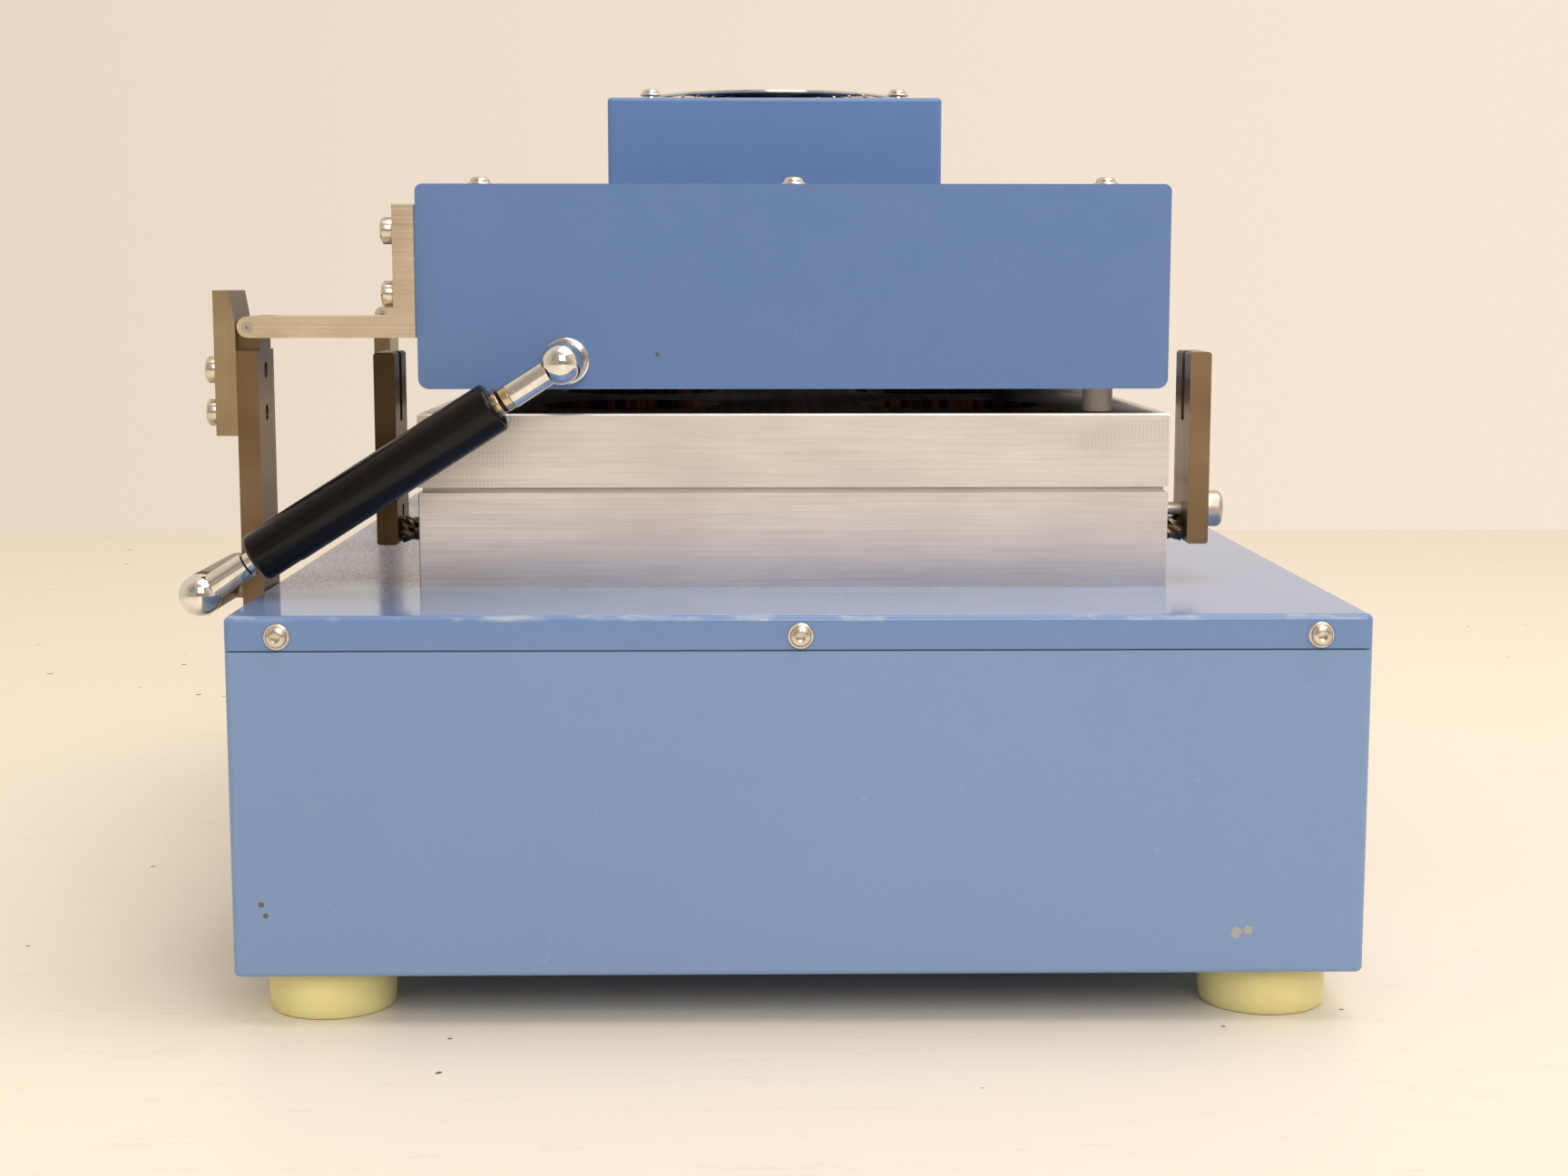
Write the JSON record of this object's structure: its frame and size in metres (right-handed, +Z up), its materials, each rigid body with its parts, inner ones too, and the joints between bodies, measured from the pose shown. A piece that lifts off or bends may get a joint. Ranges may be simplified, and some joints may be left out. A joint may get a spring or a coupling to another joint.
{
  "type": "magnetic stirrer",
  "caption": "Benchtop heated magnetic stirrer: sheet-metal base, aluminium vessel block, hinged fan cover on a gas strut.",
  "frame": {"origin": "middle of the machine's outline, on the bench under the feet", "axes": "+X towards the user's side with the control panel, +Y along the hinge line, +Z up"},
  "size_m": [0.4532, 0.5358, 0.3425],
  "materials": {
    "blue_paint": "fine orange-peel powder coat, satin gloss",
    "bright_screws": "bright rolled steel",
    "foot_elastomer": "pale yellow cast elastomer, satin",
    "machined_aluminium": "milled, fine cutter marks",
    "motor_enamel": "black enamel",
    "belt_rubber": "matt",
    "bearing_steel": "turned steel",
    "rotor_polymer": "turned white acetal",
    "magnet_nickel": "nickel plate",
    "board_green": "coated circuit board",
    "panel_dark": "fine moulded texture",
    "display_gloss": "smoked, glossy",
    "knob_grey": "satin moulded",
    "heater_silicone": "matt silicone",
    "post_grey": "satin grey polymer",
    "guide_steel": "ground flat bar with a bronze tint",
    "hinge_steel": "ground flat bar",
    "guard_wire": "bright plated wire",
    "strut_black": "black lacquer, glossy",
    "chrome_fittings": "bright chrome"
  },
  "bodies": {
    "base": {"base_shell": "blue_paint", "base_lid": "blue_paint", "base_lid_screws": "bright_screws", "feet": "foot_elastomer", "foot_screws": "bright_screws", "drive_deck": "machined_aluminium", "deck_pillars": "machined_aluminium", "drive_motor": "motor_enamel", "drive_belt": "belt_rubber", "rotor_bearings": "bearing_steel", "power_supply": "machined_aluminium", "control_board": "board_green", "mains_inlet": "panel_dark", "control_panel": "panel_dark", "display_window": "display_gloss", "magnet_block": "machined_aluminium", "heater_mat": "heater_silicone", "vessel_block": "machined_aluminium", "block_screws": "bright_screws", "stop_posts": "post_grey", "guide_bar_left": "guide_steel", "guide_bar_right": "guide_steel", "guide_spacers": "guide_steel", "hinge_post_front": "hinge_steel", "hinge_post_rear": "hinge_steel", "hinge_plate_front": "hinge_steel", "hinge_screws": "bright_screws", "hinge_pins": "bright_screws", "strut_anchor": "bearing_steel"},
    "cover": {"cover_shell": "blue_paint", "cover_screws": "bright_screws", "fan_box": "blue_paint", "fan_frame": "panel_dark", "finger_guard": "guard_wire", "guard_screws": "bright_screws", "hinge_arm_front": "hinge_steel", "hinge_arm_rear": "hinge_steel", "hinge_arm_screws": "bright_screws", "strut_flange": "bright_screws"},
    "fan_rotor": {"fan_rotor": "panel_dark"},
    "strut_rod": {"strut_lower_socket": "chrome_fittings", "strut_rod": "chrome_fittings"},
    "strut_cylinder": {"strut_tube": "strut_black", "strut_upper_socket": "chrome_fittings"},
    "speed_knob": {"speed_knob": "knob_grey"},
    "power_switch": {"power_switch": "panel_dark"},
    "clamp_knob": {"clamp_knob": "bearing_steel"},
    "rotor_1": {"magnet_rotor_1": "rotor_polymer", "rotor_magnets_1": "magnet_nickel"},
    "rotor_2": {"magnet_rotor_2": "rotor_polymer", "rotor_magnets_2": "magnet_nickel"},
    "rotor_3": {"magnet_rotor_3": "rotor_polymer", "rotor_magnets_3": "magnet_nickel"},
    "rotor_4": {"magnet_rotor_4": "rotor_polymer", "rotor_magnets_4": "magnet_nickel"},
    "rotor_5": {"magnet_rotor_5": "rotor_polymer", "rotor_magnets_5": "magnet_nickel"},
    "rotor_6": {"magnet_rotor_6": "rotor_polymer", "rotor_magnets_6": "magnet_nickel"}
  },
  "joints": [
    {"name": "lid_hinge", "type": "hinge", "parent": "base", "child": "cover", "pos_m": [-0.2035, 0, 0.2448], "axis": [0, -1, 0], "range_deg": [0, 98]},
    {"name": "strut_swing", "type": "hinge", "parent": "base", "child": "strut_rod", "pos_m": [-0.2189, -0.215, 0.1477], "axis": [0, -1, 0], "range_deg": [0, 54.52]},
    {"name": "strut_slide", "type": "slide", "parent": "strut_rod", "child": "strut_cylinder", "axis": [0.8444, 0, 0.5356], "range_m": [0, 0.0582]},
    {"name": "fan_spin", "type": "hinge", "parent": "cover", "child": "fan_rotor", "pos_m": [-0.0065, 0, 0.32], "axis": [0, 0, 1], "continuous": true},
    {"name": "rotor_1_spin", "type": "hinge", "parent": "base", "child": "rotor_1", "pos_m": [-0.06575, -0.12, 0.15], "axis": [0, 0, 1], "continuous": true},
    {"name": "rotor_2_spin", "type": "hinge", "parent": "base", "child": "rotor_2", "pos_m": [0.06425, -0.12, 0.15], "axis": [0, 0, 1], "continuous": true},
    {"name": "rotor_3_spin", "type": "hinge", "parent": "base", "child": "rotor_3", "pos_m": [-0.06575, 0, 0.15], "axis": [0, 0, 1], "continuous": true},
    {"name": "rotor_4_spin", "type": "hinge", "parent": "base", "child": "rotor_4", "pos_m": [0.06425, 0, 0.15], "axis": [0, 0, 1], "continuous": true},
    {"name": "rotor_5_spin", "type": "hinge", "parent": "base", "child": "rotor_5", "pos_m": [-0.06575, 0.12, 0.15], "axis": [0, 0, 1], "continuous": true},
    {"name": "rotor_6_spin", "type": "hinge", "parent": "base", "child": "rotor_6", "pos_m": [0.06425, 0.12, 0.15], "axis": [0, 0, 1], "continuous": true},
    {"name": "speed_knob_turn", "type": "hinge", "parent": "base", "child": "speed_knob", "pos_m": [0.203, -0.058, 0.076], "axis": [-1, 0, 0], "range_deg": [0, 300]},
    {"name": "power_switch_rock", "type": "hinge", "parent": "base", "child": "power_switch", "pos_m": [0.197, 0.062, 0.076], "axis": [0, 1, 0], "range_deg": [0, 18]},
    {"name": "clamp_knob_turn", "type": "hinge", "parent": "base", "child": "clamp_knob", "pos_m": [0.158, -0.165, 0.1742], "axis": [1, 0, 0], "range_deg": [0, 360]}
  ],
  "couplings": [
    {"joint": "strut_swing", "follows": "lid_hinge", "ratio": 0.55607},
    {"joint": "strut_slide", "follows": "lid_hinge", "m_per_rad": 0.034012},
    {"joint": "rotor_2_spin", "follows": "rotor_1_spin", "ratio": 1},
    {"joint": "rotor_3_spin", "follows": "rotor_1_spin", "ratio": 1},
    {"joint": "rotor_4_spin", "follows": "rotor_1_spin", "ratio": 1},
    {"joint": "rotor_5_spin", "follows": "rotor_1_spin", "ratio": 1},
    {"joint": "rotor_6_spin", "follows": "rotor_1_spin", "ratio": 1}
  ]
}
